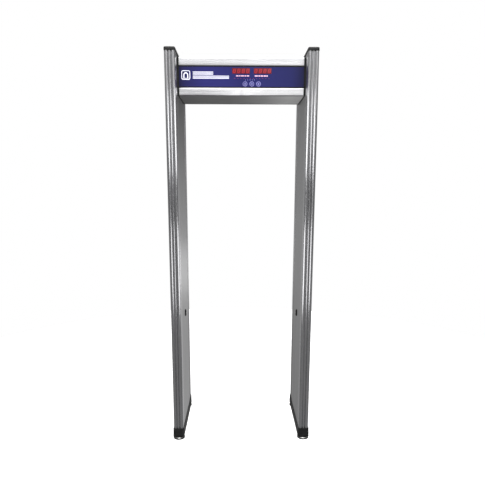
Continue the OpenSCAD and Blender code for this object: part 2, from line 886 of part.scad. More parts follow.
display_ribbon();
board_standoffs();
power_supply();
alarm_sounder();
mains_inlet();
switch_housing();
power_rocker();
header_bolts();
cover_screws();
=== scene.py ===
import json
import math

import bmesh
import bpy
import numpy as np
from mathutils import Matrix, Vector


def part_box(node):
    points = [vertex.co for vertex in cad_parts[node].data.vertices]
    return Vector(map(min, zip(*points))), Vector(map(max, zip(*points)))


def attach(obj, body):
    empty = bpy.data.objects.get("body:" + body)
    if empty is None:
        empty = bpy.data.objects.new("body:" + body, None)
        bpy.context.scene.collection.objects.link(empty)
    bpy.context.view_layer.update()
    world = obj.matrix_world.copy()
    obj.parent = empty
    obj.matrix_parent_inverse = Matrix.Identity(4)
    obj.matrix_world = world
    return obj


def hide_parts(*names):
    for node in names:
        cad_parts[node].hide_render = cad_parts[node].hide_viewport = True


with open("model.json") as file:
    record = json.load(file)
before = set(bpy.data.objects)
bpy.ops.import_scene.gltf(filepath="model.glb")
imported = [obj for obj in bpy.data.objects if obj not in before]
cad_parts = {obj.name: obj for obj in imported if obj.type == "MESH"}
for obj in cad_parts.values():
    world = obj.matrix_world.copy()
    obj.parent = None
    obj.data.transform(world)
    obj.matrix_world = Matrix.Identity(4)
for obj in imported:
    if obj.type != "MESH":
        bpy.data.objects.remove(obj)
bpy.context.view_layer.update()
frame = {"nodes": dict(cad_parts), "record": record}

MM = 0.001  # a millimetre in metres
GATE = "gate"
BUTTONS = ("left_button", "middle_button", "right_button")
PANE_WIDTH = 98.0  # of each of the two display panes, in millimetres
CREASE = math.radians(32)  # faces that meet at more than this keep a hard edge between them


# ---------------------------------------------------------------- shader helpers

def colour(code, share=1.0):
    """An sRGB hex code as linear RGBA, dimmed to a share of its light."""
    parts = [int(code[i:i + 2], 16) / 255 for i in (1, 3, 5)]
    linear = [p / 12.92 if p <= 0.04045 else ((p + 0.055) / 1.055) ** 2.4 for p in parts]
    return (*[share * p for p in linear], 1.0)


def shades(*pairs):
    """Stops for a colour ramp, from pairs of place and hex code."""
    return [(place, colour(code)) for place, code in pairs]


def socket(made, name):
    """The input by place or by name; of several with one name, the one in use."""
    if isinstance(name, int):
        return made.inputs[name]
    return next(s for s in made.inputs if s.name == name and s.enabled)


def add(tree, kind, values=None, links=None, stops=None, **settings):
    """Adds one node with its settings, its socket values, its incoming links and, for a colour ramp, its
    stops in order of place."""
    made = tree.nodes.new(kind)
    for name, value in settings.items():
        setattr(made, name, value)
    for name, value in (values or {}).items():
        socket(made, name).default_value = value
    for name, source in (links or {}).items():
        tree.links.new(source, socket(made, name))
    if stops:
        for end in (0, -1):
            made.color_ramp.elements[end].position = stops[end][0]
            made.color_ramp.elements[end].color = stops[end][1]
        for place, shade in stops[1:-1]:
            made.color_ramp.elements.new(place).color = shade
    return made


def new_material(name):
    """A material with an empty node tree."""
    material = bpy.data.materials.new(name)
    material.use_nodes = True
    material.node_tree.nodes.clear()
    return material, material.node_tree


def finish(tree, values, links):
    """Completes a material with its shader and output; values are the same all over, links vary."""
    shader = add(tree, "ShaderNodeBsdfPrincipled", values, links)
    add(tree, "ShaderNodeOutputMaterial", links={"Surface": shader.outputs["BSDF"]})


def pattern(tree, size_mm, detail=3.0):
    """Noise whose blotches are size_mm across along X, Y and Z."""
    place = add(tree, "ShaderNodeTexCoord")
    mapping = add(tree, "ShaderNodeMapping", {"Scale": [1 / (s * MM) for s in size_mm]},
                  {"Vector": place.outputs["Object"]})
    noise = add(tree, "ShaderNodeTexNoise", {"Scale": 1.0, "Detail": detail, "Roughness": 0.55},
                {"Vector": mapping.outputs["Vector"]})
    return noise.outputs["Fac"]


def object_axes(tree):
    """A point's X, Y and Z in the gate's own frame."""
    place = add(tree, "ShaderNodeTexCoord")
    return add(tree, "ShaderNodeSeparateXYZ", links={"Vector": place.outputs["Object"]}).outputs


def along_x(tree, axes, node):
    """How far a point is along a node: 0 at its left end, 1 at its right end."""
    low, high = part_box(node)
    share = add(tree, "ShaderNodeMapRange", {"From Min": low.x, "From Max": high.x}, {"Value": axes["X"]})
    return share.outputs["Result"]


# ---------------------------------------------------------------- materials

def textured(name, dark, light, smooth, rough, cloud_mm, grain_mm, depth_mm, relief, values):
    """Two noises: with the wide one, cloud_mm across, the colour runs from dark to light and the
    roughness from smooth to rough; the fine one, grain_mm across, gives a relief depth_mm deep."""
    material, tree = new_material(name)
    cloud = pattern(tree, cloud_mm)
    tone = add(tree, "ShaderNodeValToRGB", links={"Fac": cloud}, stops=shades((0.35, dark), (0.65, light)))
    gloss = add(tree, "ShaderNodeMapRange", {"To Min": smooth, "To Max": rough}, {"Value": cloud})
    raised = add(tree, "ShaderNodeBump", {"Strength": relief, "Distance": depth_mm * MM},
                 {"Height": pattern(tree, grain_mm, detail=2.0)})
    finish(tree, values, {"Base Color": tone.outputs["Color"], "Roughness": gloss.outputs["Result"],
                          "Normal": raised.outputs["Normal"]})
    return material


def brushed_metal(name, dark, light, smooth, rough, grain_mm, streak_mm, depth_mm):
    """Metal brushed one way: fine grain in the relief, wider streaks in colour and roughness."""
    return textured(name, dark, light, smooth, rough, streak_mm, grain_mm, depth_mm, 0.35, {"Metallic": 1.0})


def moulded(name, dark, light, smooth, rough, grain_mm, depth_mm, blotch_mm=40, specular=0.5):
    """Moulded plastic or rubber, a coat or an ink: faint blotches of colour, a fine even grain."""
    return textured(name, dark, light, smooth, rough, [blotch_mm] * 3, [grain_mm] * 3, depth_mm, 0.4,
                    {"Specular IOR Level": specular})


# Extruded aluminium, brushed along its length and clear anodised: vertical streaks, soft long highlights.
# Real brush lines are 0.1 mm wide, drawn here 0.8 mm wide so that they show.
column_metal = brushed_metal("brushed_anodised_aluminium", "#A9A9AB", "#C6C6C8", smooth=0.22, rough=0.32,
                             grain_mm=(0.8, 0.8, 120), streak_mm=(5, 5, 600), depth_mm=0.02)
# Rolled aluminium sheet with a vertical hairline finish: duller and greyer than the columns. The
# hairlines too are drawn wider than they are, 0.9 mm.
skin_metal = brushed_metal("hairline_aluminium_sheet", "#9C9C9D", "#B4B4B5", smooth=0.32, rough=0.42,
                           grain_mm=(0.9, 0.9, 90), streak_mm=(4, 4, 700), depth_mm=0.02)
# Bright dipped aluminium extrusion brushed along X: almost white under the lights.
rail_metal = brushed_metal("bright_brushed_aluminium", "#DADADC", "#EAEAEB", smooth=0.28, rough=0.34,
                           grain_mm=(160, 0.8, 0.8), streak_mm=(600, 6, 6), depth_mm=0.002)
# Zinc-plated steel: cool grey with a faint mottle.
zinc = brushed_metal("zinc_plated_steel", "#A9ABB0", "#C9CBD0", smooth=0.28, rough=0.42,
                     grain_mm=(2, 2, 2), streak_mm=(9, 9, 9), depth_mm=0.01)
# Satin nickel plate of the foot rings: a soft bright crescent under the lights from above.
bright_plate = brushed_metal("satin_nickel_plate", "#9C9C9A", "#B0B0AE", smooth=0.36, rough=0.42,
                             grain_mm=(2, 2, 2), streak_mm=(9, 9, 9), depth_mm=0.01)
# Turned brass: warm, with a fine tool texture that hardly shows at this size.
brass = brushed_metal("turned_brass", "#B08A3E", "#D2AE62", smooth=0.25, rough=0.35,
                      grain_mm=(0.5, 0.5, 0.5), streak_mm=(4, 4, 4), depth_mm=0.01)
# Enamelled copper winding: layers of 1 mm wire seen as lines along the loop.
copper = brushed_metal("enamelled_copper_wire", "#8A4A22", "#C87A45", smooth=0.30, rough=0.45,
                       grain_mm=(1, 1, 40), streak_mm=(3, 3, 200), depth_mm=0.2)
# Folded cage of plated sheet: pale grey with faint lines along Y.
cage = brushed_metal("plated_cage_sheet", "#B5B6B8", "#D0D1D3", smooth=0.30, rough=0.40,
                     grain_mm=(1.5, 60, 1.5), streak_mm=(8, 200, 8), depth_mm=0.01)

# ABS from a spark-eroded mould: black, broken highlights.
cap_plastic = moulded("textured_black_abs", "#0D0D0D", "#161616", smooth=0.48, rough=0.62,
                      grain_mm=1.4, depth_mm=0.08, specular=0.35)
# Moulded rubber, slightly glossier from its polished tool.
foot_rubber = moulded("moulded_rubber", "#0E0E0E", "#191919", smooth=0.30, rough=0.45,
                      grain_mm=2.0, depth_mm=0.05)
# Satin black nylon of the sensor bezels, inlet and switch frame: takes hardly any highlight.
bezel_plastic = moulded("satin_black_nylon", "#050505", "#0A0A0A", smooth=0.6, rough=0.7,
                        grain_mm=0.8, depth_mm=0.02, specular=0.03)
# Infrared filter acrylic: looks almost black with a deep red cast.
lens_plastic = moulded("infrared_filter_acrylic", "#120205", "#1C0408", smooth=0.2, rough=0.3,
                       grain_mm=3.0, depth_mm=0.005, specular=0.1)
# Matt extruded rubber: a black line round the fascia; the same black is painted on the rails' undersides as
# shade.
gasket_rubber_and_painted_shade = moulded("extruded_gasket_rubber", "#050508", "#0C0C12", smooth=0.5, rough=0.7,
                        grain_mm=1.0, depth_mm=0.03)
# Moulded component bodies: slightly rough epoxy, a dull charcoal.
component_epoxy = moulded("moulded_epoxy", "#141416", "#222226", smooth=0.45, rough=0.6,
                          grain_mm=0.8, depth_mm=0.03)
# Extruded PVC cable jacket: a soft black sheen.
jacket = moulded("pvc_jacket", "#161618", "#232326", smooth=0.35, rough=0.5, grain_mm=1.0, depth_mm=0.02)
# Glossy moulded rocker: strong red with a sharp highlight.
rocker_plastic = moulded("glossy_red_polycarbonate", "#8E0A0C", "#A51214", smooth=0.15, rough=0.25,
                         grain_mm=2.0, depth_mm=0.01)
# Powder coat on sheet, with a soft orange peel 2 mm across: grey on the housing, black on its end plates.
header_coat = moulded("grey_powder_coat", "#8C8C8A", "#969694", smooth=0.35, rough=0.48,
                      grain_mm=2.2, depth_mm=0.06, blotch_mm=160)
end_coat = moulded("black_powder_coat", "#09090A", "#101011", smooth=0.5, rough=0.65,
                   grain_mm=2.2, depth_mm=0.06, specular=0.2)
# Moulded ABS keys in nearly the fascia's colour, with a soft sheen on their dished faces.
button_blue = moulded("blue_moulded_keys", "#23235C", "#292966", smooth=0.4, rough=0.5,
                      grain_mm=2.0, depth_mm=0.01)
# Screen-printing inks: even, slightly matt, very thin.
ink_white, ink_lilac, ink_pink = [
    moulded(name, dark, light, smooth=0.45, rough=0.55, grain_mm=0.6, depth_mm=0.005)
    for name, dark, light in (("white_screen_ink", "#D9D9E6", "#E9E9F2"),
                              ("lilac_screen_ink", "#7A78B4", "#8886C2"),
                              ("pink_screen_ink", "#D7A6BE", "#E6BCD0"))]


def painted_board():
    """Green solder mask: glossy, lighter and slightly raised in fields 9 mm across where copper lies
    under it."""
    material, tree = new_material("green_solder_mask")
    fields = pattern(tree, (9, 9, 9), detail=0.0)
    green = add(tree, "ShaderNodeValToRGB", links={"Fac": fields},
                stops=shades((0.48, "#0B4A26"), (0.52, "#15703B")))
    raised = add(tree, "ShaderNodeBump", {"Strength": 0.3, "Distance": 0.05 * MM}, {"Height": fields})
    finish(tree, {"Roughness": 0.28},
           {"Base Color": green.outputs["Color"], "Normal": raised.outputs["Normal"]})
    return material


def former_board():
    """Wood fibre board: long pale fibres along Z."""
    material, tree = new_material("wood_fibre_board")
    fibres = pattern(tree, (4, 4, 60), detail=5.0)
    brown = add(tree, "ShaderNodeValToRGB", links={"Fac": fibres},
                stops=shades((0.35, "#9C7B4E"), (0.65, "#C7A877")))
    gloss = add(tree, "ShaderNodeMapRange", {"To Min": 0.6, "To Max": 0.85}, {"Value": fibres})
    raised = add(tree, "ShaderNodeBump", {"Strength": 0.4, "Distance": 0.3 * MM}, {"Height": fibres})
    finish(tree, {}, {"Base Color": brown.outputs["Color"], "Roughness": gloss.outputs["Result"],
                      "Normal": raised.outputs["Normal"]})
    return material


def printed_fascia_painted_shade():
    """Blue print under a clear polycarbonate film: deep blue, with painted shade that darkens it towards
    both ends, a black line of painted shadow along its upper and lower edge, and faint film grain. The
    shadow line is where a point's distance from the middle height is more than half the height less its
    width."""
    material, tree = new_material("printed_polycarbonate_painted_shade")
    low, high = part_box("fascia_panel")
    middle, half, border = (low.z + high.z) / 2, (high.z - low.z) / 2, 4.5 * MM
    axes = object_axes(tree)
    # Painted shade: the blue darkens towards both ends of the fascia.
    blue = add(tree, "ShaderNodeValToRGB", links={"Fac": along_x(tree, axes, "fascia_panel")},
               stops=shades((0.0, "#101030"), (0.05, "#171742"), (0.2, "#1D1D55"),
                            (0.6, "#1B1C51"), (0.9, "#181A48"), (1.0, "#141534")))
    # Painted shadow: a black line along the fascia's upper and lower edge, where it meets the rails.
    height = add(tree, "ShaderNodeMath", {1: middle}, {0: axes["Z"]}, operation="SUBTRACT")
    distance = add(tree, "ShaderNodeMath", links={0: height.outputs["Value"]}, operation="ABSOLUTE")
    edge = add(tree, "ShaderNodeMath", {1: half - border}, {0: distance.outputs["Value"]},
               operation="GREATER_THAN")
    print_and_painted_shade = add(tree, "ShaderNodeMix", {"B": colour("#08080C")},
                       {"Factor": edge.outputs["Value"], "A": blue.outputs["Color"]}, data_type="RGBA")
    raised = add(tree, "ShaderNodeBump", {"Strength": 0.3, "Distance": 0.01 * MM},
                 {"Height": pattern(tree, (1, 1, 1))})
    finish(tree, {"Roughness": 0.45, "IOR": 1.58, "Specular IOR Level": 0.12, "Coat Weight": 0.03,
                  "Coat Roughness": 0.15},
           {"Base Color": print_and_painted_shade.outputs["Result"], "Normal": raised.outputs["Normal"]})
    return material


def pan_coating_painted_light():
    """Satin grey coating of the header's underside, with painted light that makes it lighter towards its
    right end, and a soft orange peel."""
    material, tree = new_material("satin_grey_coating_painted_light")
    # Painted light: the grey is darker at the left end and lighter towards the right.
    grey = add(tree, "ShaderNodeValToRGB", links={"Fac": along_x(tree, object_axes(tree), "bottom_pan")},
               stops=shades((0.0, "#484848"), (0.4, "#525252"), (0.7, "#6C6C6C"), (0.9, "#8E8E8E"),
                            (1.0, "#909090")))
    raised = add(tree, "ShaderNodeBump", {"Strength": 0.4, "Distance": 0.06 * MM},
                 {"Height": pattern(tree, (2.2, 2.2, 2.2))})
    finish(tree, {"Roughness": 0.55, "Specular IOR Level": 0.2},
           {"Base Color": grey.outputs["Color"], "Normal": raised.outputs["Normal"]})
    return material


def lit(name, body, glow, strength, blotch_mm):
    """Tinted plastic lit from behind: in blotches the glow falls to 0.7 of its light."""
    material, tree = new_material(name)
    light = add(tree, "ShaderNodeValToRGB", links={"Fac": pattern(tree, [blotch_mm] * 3)},
                stops=[(0.3, colour(glow, 0.7)), (0.7, colour(glow))])
    finish(tree, {"Base Color": colour(body), "Roughness": 0.2, "Emission Strength": strength},
           {"Emission Color": light.outputs["Color"]})
    return material


fascia_blue = printed_fascia_painted_shade()
pan_satin_painted_light = pan_coating_painted_light()
board_green = painted_board()
former_wood = former_board()
# Red filter acrylic over the displays, lit by what stray light the digits give it.
window_red = lit("red_filter_acrylic", "#2A060C", "#7A2030", 0.75, blotch_mm=30)
# Moulded display blocks behind the panes: very dark red.
module_red = lit("display_block", "#22060A", "#4A101A", 0.4, blotch_mm=12)
# Light bars of the digits: bright red, a little uneven.
digit_red = lit("lit_red_segments", "#5A0A12", "#D03242", 0.9, blotch_mm=6)
# Small lamps of cast resin: a red glow and a lilac one.
signal_red = lit("red_lamp_resin", "#4A1030", "#C02C48", 0.8, blotch_mm=4)
status_lilac = lit("lilac_lamp_resin", "#6C68A8", "#B9B4EE", 0.7, blotch_mm=4)

BY_SLOT = {
    "column_aluminium": column_metal, "skin_aluminium": skin_metal, "former_board": former_wood,
    "coil_copper": copper, "cap_plastic": cap_plastic, "foot_rubber": foot_rubber, "zinc_steel": zinc,
    "sensor_plastic": bezel_plastic, "infrared_lens": lens_plastic, "circuit_board": board_green,
    "cable_jacket": jacket, "rail_aluminium": rail_metal, "fascia_blue": fascia_blue,
    "gasket_black": gasket_rubber_and_painted_shade, "window_red": window_red, "display_red": module_red,
    "lamp_red": signal_red, "lamp_lilac": status_lilac, "button_lilac": button_blue,
    "component_black": component_epoxy, "header_sheet": header_coat, "end_plate_black": end_coat,
    "standoff_brass": brass, "supply_cage": cage, "rocker_red": rocker_plastic,
}
# A node whose finish differs from that of the others in its slot: the pan, with painted light along it.
BY_NODE = {"bottom_pan": pan_satin_painted_light}
for part in frame["record"]["subparts"]:
    mesh = frame["nodes"][part["node"]].data
    mesh.materials.clear()
    mesh.materials.append(BY_NODE.get(part["node"], BY_SLOT[part["material_slot"]]))


# ---------------------------------------------------------------- surfaces

def make_piece(name, points, faces, material, body, slot, replaces=()):
    """A mesh from points in millimetres, its faces turned outwards, smooth except at its creases."""
    mesh = bpy.data.meshes.new(name)
    mesh.from_pydata((np.asarray(points) * MM).tolist(), [], faces)
    mesh.validate()
    measured = bmesh.new()
    measured.from_mesh(mesh)
    bmesh.ops.recalc_face_normals(measured, faces=measured.faces)
    measured.to_mesh(mesh)
    measured.free()
    mesh.polygons.foreach_set("use_smooth", np.ones(len(mesh.polygons), dtype=bool))
    mesh.set_sharp_from_angle(angle=CREASE)
    mesh.materials.append(material)
    piece = bpy.data.objects.new(name, mesh)
    bpy.context.scene.collection.objects.link(piece)
    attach(piece, body)
    if replaces:
        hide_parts(*replaces)
    return piece


def ring_solid(rings, hole=False):
    """Joins closed rings, an array (ring, point, xyz), into one skin. The first and last ring are filled,
    or with hole they are joined to each other, which leaves a hole through the middle."""
    rings = np.asarray(rings, dtype=float)
    m, n = rings.shape[:2]
    ring, at = np.meshgrid(np.arange(m if hole else m - 1), np.arange(n), indexing="ij")
    low, step, high = ring * n, (at + 1) % n, (ring + 1) % m * n
    quads = np.stack([low + at, low + step, high + step, high + at], axis=-1).reshape(-1, 4)
    faces = quads.tolist()
    if not hole:
        faces += [list(range(n))[::-1], list(range((m - 1) * n, m * n))]
    return rings.reshape(-1, 3), faces


def merge(*solids):
    """Several (points, faces) as one."""
    points, faces, start = [], [], 0
    for these, theirs in solids:
        points.append(np.asarray(these))
        faces += [[i + start for i in face] for face in theirs]
        start += len(these)
    return np.concatenate(points), faces


def arc(cx, cy, radius, start, stop, steps):
    """Points (cx + radius cos a, cy + radius sin a) for a from start to stop degrees."""
    a = np.radians(np.linspace(start, stop, steps + 1))
    return np.stack([cx + radius * np.cos(a), cy + radius * np.sin(a)], axis=-1)


def circle(cx, cy, radius):
    """A whole circle as 24 points 15 degrees apart."""
    return arc(cx, cy, radius, 0, 345, 23)


def outline(x0, x1, y0, y1, r_front, r_back=None, steps=8):
    """Rectangle with its corners rounded: quarter circles of r_front at y0 and r_back at y1."""
    r_back = r_front if r_back is None else r_back
    return np.concatenate([
        arc(x0 + r_front, y0 + r_front, r_front, 180, 270, steps),
        arc(x1 - r_front, y0 + r_front, r_front, 270, 360, steps),
        arc(x1 - r_back, y1 - r_back, r_back, 0, 90, steps),
        arc(x0 + r_back, y1 - r_back, r_back, 90, 180, steps)])


def carried(section, axis, start, stop, ease=0.0):
    """A closed section carried straight along an axis. With ease, both ends shrink towards the section's
    middle by a quarter circle of that radius, which softens their edges."""
    section = np.asarray(section, dtype=float)
    middle = (section.min(axis=0) + section.max(axis=0)) / 2
    half = (section.max(axis=0) - section.min(axis=0)) / 2
    if ease:
        a = np.radians(np.linspace(0, 90, 5))
        insets = np.concatenate([ease * (1 - np.sin(a)), ease * (1 - np.sin(a))[::-1]])
        places = np.concatenate([start + ease * (1 - np.cos(a)), stop - ease * (1 - np.cos(a))[::-1]])
    else:
        insets, places = np.zeros(2), np.array([start, stop])
    shrink = 1 - insets[:, None] / half
    flat = middle + (section[None] - middle) * shrink[:, None, :]
    along = np.broadcast_to(places[:, None], flat.shape[:2])
    u, v = flat[..., 0], flat[..., 1]
    order = {"x": (along, u, v), "y": (u, along, v), "z": (u, v, along)}[axis]
    return ring_solid(np.stack(order, axis=-1))


def turned(profile, centre, axis, steps):
    """A profile of (radius, height) turned round an axis through centre: each of its points gives a ring
    (radius cos a, radius sin a) at that height."""
    profile = np.asarray(profile, dtype=float)
    a = np.linspace(0, 2 * np.pi, steps, endpoint=False)
    u, v = profile[:, :1] * np.cos(a), profile[:, :1] * np.sin(a)
    height = np.broadcast_to(profile[:, 1:], u.shape)
    order = {"x": (height, u, v), "y": (u, height, v), "z": (u, v, height)}[axis]
    return ring_solid(np.stack(order, axis=-1) + np.asarray(centre))


def box_mm(node):
    """A node's low and high corner in millimetres."""
    low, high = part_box(node)
    return np.array(low) / MM, np.array(high) / MM


# ---------------------------------------------------------------- panels

def column_section(half, depth):
    """Points (across, depth from the face): a round lobe at each side, a bead between two grooves, straight
    sides, and lips that hold the skins. The arcs stop where they reach the grooves' depth, so a lobe ends
    at the angle whose sine is (lobe - groove) / lobe."""
    lobe, groove = 11.0, 6.0  # radius of the lobes, depth of the grooves
    bead, bead_at = 6.5, 7.0  # radius of the bead, depth of its middle
    lip, lip_depth = 1.6, 8.0
    lobe_end = math.degrees(math.asin((lobe - groove) / lobe))
    bead_end = math.degrees(math.asin((bead_at - groove) / bead))
    left = arc(-half + lobe, lobe, lobe, 180, 360 - lobe_end, 16)
    middle = arc(0, bead_at, bead, 180 + bead_end, 360 - bead_end, 12)
    right = arc(half - lobe, lobe, lobe, 180 + lobe_end, 360, 16)
    back = [[half, depth], [half - lip, depth], [half - lip, depth - lip_depth],
            [-half + lip, depth - lip_depth], [-half + lip, depth], [-half, depth]]
    return np.concatenate([left, middle, right, back])


def make_column(node):
    """The column's section, with its face outwards, carried from the node's bottom to its top."""
    low, high = box_mm(node)
    section = column_section((high[0] - low[0]) / 2, high[1] - low[1])
    face, inwards = (low[1], 1) if low[1] < 0 else (high[1], -1)
    section = np.stack([(low[0] + high[0]) / 2 + section[:, 0], face + inwards * section[:, 1]], axis=-1)
    make_piece(node + "_extrusion", *carried(section, "z", low[2], high[2]), column_metal, GATE,
               "column_aluminium", (node,))


def make_cap(node):
    """Lid: a rounded rectangle whose upper edge is a quarter circle and whose lower edge is eased."""
    low, high = box_mm(node)
    base = box_mm("left_front_column")[1][2]
    corner, edge, ease, last_inset = 11, 5.0, 0.8, 9.0
    a = np.radians(np.linspace(0, 90, 7))
    insets = np.concatenate([[ease, ease / 3, 0], edge * (1 - np.cos(a)), [last_inset]])
    heights = np.concatenate([[base, base + ease / 3, base + ease], high[2] - edge + edge * np.sin(a),
                              [high[2]]])
    rings = []
    for d, z in zip(insets, heights):
        flat = outline(low[0] + d, high[0] - d, low[1] + d, high[1] - d, max(corner - d, 1))
        rings.append(np.column_stack([flat, np.full(len(flat), z)]))
    make_piece(node + "_moulding", *ring_solid(rings), cap_plastic, GATE, "cap_plastic", (node,))


def make_boot(node):
    """Shoe round a column's foot. Its outline widens downwards by the flare, of which each ring has a
    share, and its upper edge is a quarter circle. A rear boot is a front one mirrored."""
    low, high = box_mm(node)
    mirrored = low[1] > 0
    if mirrored:
        low[1], high[1] = -high[1], -low[1]
    flare, edge, corner, back_corner = 2.0, 1.6, 13, 1.5
    a = np.radians(np.linspace(0, 90, 5))
    shares = np.concatenate([[1, 0.97, 0.9], np.linspace(0.75, 0.1, 5), np.zeros(5)])
    insets = np.concatenate([[0.8, 0.2, 0], np.zeros(5), edge * (1 - np.cos(a))])
    heights = np.concatenate([[low[2], low[2] + 0.3, low[2] + 1],
                              np.linspace(low[2] + 10, high[2] - edge - 1, 5),
                              high[2] - edge + edge * np.sin(a)])
    rings = []
    for share, inset, z in zip(shares, insets, heights):
        grow = flare * (share - 1) - inset
        flat = outline(low[0] - grow, high[0] + grow, low[1] - grow, high[1] - inset,
                       corner + grow, back_corner)
        y = -flat[:, 1] if mirrored else flat[:, 1]
        rings.append(np.column_stack([flat[:, 0], y, np.full(len(flat), z)]))
    make_piece(node + "_moulding", *ring_solid(rings), cap_plastic, GATE, "cap_plastic", (node,))


def make_base_rail(node):
    """Channel under the panel, carried along Y: a proud foot, a slope up to narrower sides, and a trough
    for the skins. Its section is the right half and the same half mirrored."""
    low, high = box_mm(node)
    x, wide = (low[0] + high[0]) / 2, (high[0] - low[0]) / 2
    half, inner = wide - 2.5, wide - 5.5  # half widths of the upper part and of its trough
    foot, trough = low[2] + 8, low[2] + 6  # heights of the proud foot and of the trough's floor
    edge, top_edge = 0.6, 0.8
    right = [[wide - edge, low[2]], [wide, low[2] + edge], [wide, foot - 1], [wide - 0.4, foot],
             [half + 0.3, foot + 3.6], [half, foot + 5], [half, high[2] - top_edge],
             [half - top_edge, high[2]], [inner, high[2]], [inner, trough]]
    section = np.array(right + [[-u, v] for u, v in right[::-1]]) + [x, 0]
    make_piece(node + "_moulding", *carried(section, "y", low[1], high[1]), cap_plastic, GATE, "cap_plastic",
               (node,))


def make_foot(node):
    """Turned foot: a rubber sole with a domed top, a bright plated ring let into it, and the stud, whose
    thread is a zigzag between crest and root."""
    low, high = box_mm(node)
    centre = (low[0] + high[0]) / 2, (low[1] + high[1]) / 2, low[2]
    r, tall = (high[0] - low[0]) / 2, high[2] - low[2]
    edge = 0.8
    sole = np.concatenate([
        [[r - 3, 0], [r - edge, 0]], arc(r - edge, edge, edge, -60, 0, 4),  # lower edge
        [[r, 8]], arc(r - edge, 8.2, edge, 10, 90, 4),                      # side and upper edge
        [[r - 2.4, 9.1], [r - 5.4, 10.2]],                                  # seat of the ring
        arc(r - 9.6, 9.4, 3.6, 10, 90, 8), [[8, 13]]])                      # domed top
    make_piece(node + "_sole", *turned(sole, centre, "z", 64), foot_rubber, node, "foot_rubber", (node,))
    ring = [[r - 3, 8.7], [r - 1.3, 8.9], [r - 0.9, 9.2], [r - 1.1, 9.6], [r - 3.7, 12.0], [r - 4.3, 12.2],
            [r - 4.8, 11.9], [r - 4.4, 10]]
    make_piece(node + "_rim", *turned(ring, centre, "z", 64), bright_plate, node, "zinc_steel")
    crest, root, flank = 6.0, 5.45, 0.9  # radii, and the height from one to the other
    neck, thread_start, run_out, tip = 12.6, 13.2, 1.5, 4.8
    heights = np.arange(thread_start, tall - run_out, flank)
    radii = np.where(np.arange(len(heights)) % 2, root, crest)
    stud = np.concatenate([[[crest, neck]], np.column_stack([radii, heights]), [[tip, tall]]])
    make_piece(node + "_stud", *turned(stud, centre, "z", 32), zinc, node, "zinc_steel")


def make_bezel(node):
    """Stadium-shaped lip with a rounded edge and a slightly dished face. Gives back the sensor's two lens
    domes, each a quarter circle turned round X."""
    low, high = box_mm(node)
    side = -1 if low[0] > 0 else 1
    rise, edge = 3.5, 1.1  # how far the lip stands proud, radius of its edge
    dome_r, dome_set_back = 4, 0.6
    face = high[0] + rise if side > 0 else low[0] - rise
    a = np.radians(np.linspace(0, 90, 6))
    insets = np.concatenate([[0], edge * (1 - np.cos(a)), [2.6, 3.4]])
    heights = np.concatenate([[-1.6 - rise], -edge + edge * np.sin(a), [0, -0.5]])
    half_y, half_z, z = (high[1] - low[1]) / 2, (high[2] - low[2]) / 2, (low[2] + high[2]) / 2
    rings = []
    for d, h in zip(insets, heights):
        flat = outline(-half_y + d, half_y - d, z - half_z + d, z + half_z - d, half_y - d)
        rings.append(np.column_stack([np.full(len(flat), face + side * h), flat]))
    make_piece(node + "_lip", *ring_solid(rings), bezel_plastic, GATE, "sensor_plastic", (node,))
    dome = np.concatenate([[[dome_r, -1]], arc(0, 0, dome_r, 0, 90, 8)])
    profile = np.column_stack([np.maximum(dome[:, 0], 0.05), side * dome[:, 1]])
    apart = 0.22 * (high[2] - low[2])
    return [turned(profile, (face - side * dome_set_back, 0, z + s * apart), "x", 24) for s in (-1, 1)]


# ---------------------------------------------------------------- header

def make_rail(node):
    """Channel carried along X, with a ribbed front: ribs 7 mm apart with a rounded groove between them. Its
    underside is painted black as shade."""
    low, high = box_mm(node)
    front, back = low[1], high[1]
    wall, edge, pitch = 3.0, 1.2, 7.0
    count = int((high[2] - low[2] - 2 * wall) // pitch)
    first = (low[2] + high[2]) / 2 - (count - 1) * pitch / 2
    deep, across = np.array([0, 0.55, 0.95, 0.55, 0]), np.array([-0.6, -0.45, 0, 0.45, 0.6])
    grooves = [np.column_stack([front + deep, first + pitch * n + across]) for n in range(count)]
    lower = arc(front + edge, low[2] + edge, edge, 270, 180, 4)
    upper = arc(front + edge, high[2] - edge, edge, 180, 90, 4)
    back_side = [[back, high[2]], [back, high[2] - wall], [front + wall, high[2] - wall],
                 [front + wall, low[2] + wall], [back, low[2] + wall], [back, low[2]]]
    section = np.concatenate([lower, *grooves, upper, back_side])
    rail = make_piece(node + "_extrusion", *carried(section, "x", low[0], high[0]), rail_metal, GATE,
                      "rail_aluminium", (node,))
    rail.data.materials.append(gasket_rubber_and_painted_shade)
    # Painted shade: the faces that point down take the black gasket material.
    faces_down = [int(face.normal.z < -0.8) for face in rail.data.polygons]
    rail.data.polygons.foreach_set("material_index", faces_down)


def make_end_trims():
    """Black edging on the front edge of both end plates: a rectangle with rounded corners, carried up."""
    low, high = box_mm("upper_front_rail")
    bottom = box_mm("lower_front_rail")[0][2]
    over_rail, past_rail = 6, 3.8  # inwards and outwards of the rail's end
    proud, deep = 1.2, 6
    solids = []
    for side in (-1, 1):
        x0, x1 = sorted((side * (high[0] - over_rail), side * (high[0] + past_rail)))
        section = outline(x0, x1, low[1] - proud, low[1] + deep, 1.5, 0.3)
        solids.append(carried(section, "z", bottom, high[2]))
    make_piece("end_plate_edging", *merge(*solids), end_coat, GATE, "end_plate_black")


def tile(x0, x1, z0, z1, front, back, radius=0.6, ease=0.0):
    """A thin plate that faces the front, with rounded corners."""
    radius = min(radius, (x1 - x0) / 2.01, (z1 - z0) / 2.01)
    section = outline(x0, x1, z0, z1, radius, steps=4)
    return carried(section, "y", front, back, ease)


def prism(corners, front, back):
    """A flat shape given by its corners (x, z), from front to back."""
    return carried(np.asarray(corners, dtype=float), "y", front, back)


def hollow(outer, inner, front, back):
    """A frame between two outlines with equal numbers of points."""
    rings = [np.column_stack([flat[:, 0], np.full(len(flat), y), flat[:, 1]])
             for flat, y in ((outer, front), (outer, back), (inner, back), (inner, front))]
    return ring_solid(rings, hole=True)


